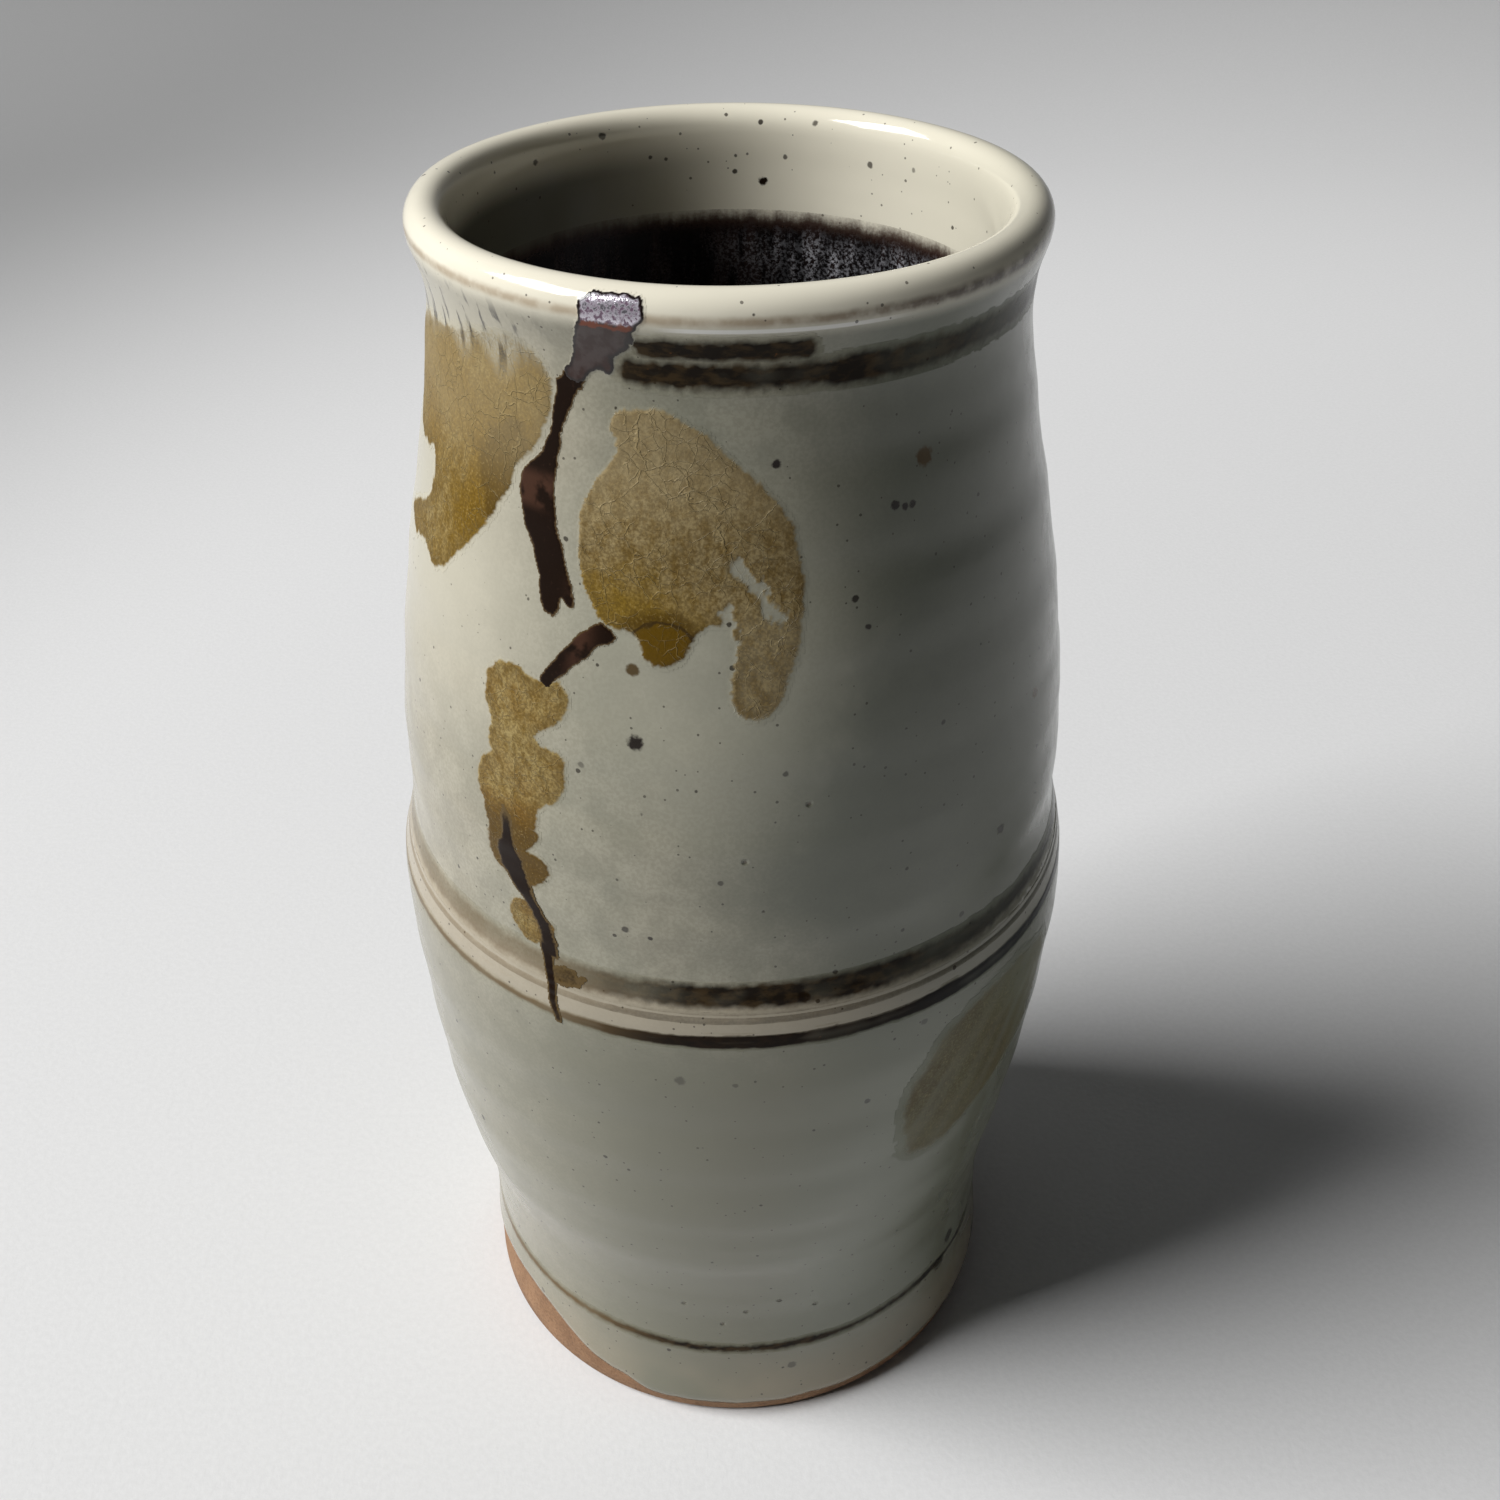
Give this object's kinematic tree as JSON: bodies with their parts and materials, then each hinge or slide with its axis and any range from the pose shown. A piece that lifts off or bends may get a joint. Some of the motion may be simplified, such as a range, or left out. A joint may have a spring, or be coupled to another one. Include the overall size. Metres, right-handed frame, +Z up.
{
  "type": "stoneware vase",
  "caption": "Hand-thrown barrel-shaped stoneware vase with a rolled lip, a ridged belly, a turned foot and brushed leaves over a pale glaze.",
  "frame": {"origin": "centre of the foot, on the surface the vase stands on", "axes": "+Z up along the axis the vase was thrown on, -Y towards the side with the large leaf, +X to the right of that view"},
  "size_m": [0.1134, 0.1134, 0.2175],
  "materials": {
    "bare_clay": "bare toasted stoneware, matt and slightly rough",
    "pale_glaze": "pale grey-green glaze with iron specks, satin to glossy",
    "liner_glaze": "near-black iron glaze with a lilac-grey bloom, glossy",
    "iron_brush": "dark iron brushwork sunk into the glaze, glossy",
    "soft_brush": "thin brown wash under the glaze, glossy",
    "iron_spot": "thick iron splash with a purple metallic sheen",
    "ochre_glaze": "ochre glaze, finely crackled, satin",
    "olive_glaze": "thin olive-brown wash, satin"
  },
  "bodies": {
    "root": {"clay_body": "bare_clay", "dip_glaze": "pale_glaze", "liner_glaze": "liner_glaze", "neck_band_upper": "soft_brush", "neck_band_lower": "soft_brush", "belly_band_upper": "soft_brush", "belly_band_middle": "soft_brush", "belly_band_lower": "iron_brush", "foot_band": "soft_brush", "rim_iron_spot": "iron_spot", "upper_stem": "iron_brush", "lower_stem": "iron_brush", "left_leaf": "ochre_glaze", "right_leaf": "ochre_glaze", "flower_spray": "ochre_glaze", "spray_streak": "iron_brush", "low_leaf": "olive_glaze"}
  },
  "joints": []
}
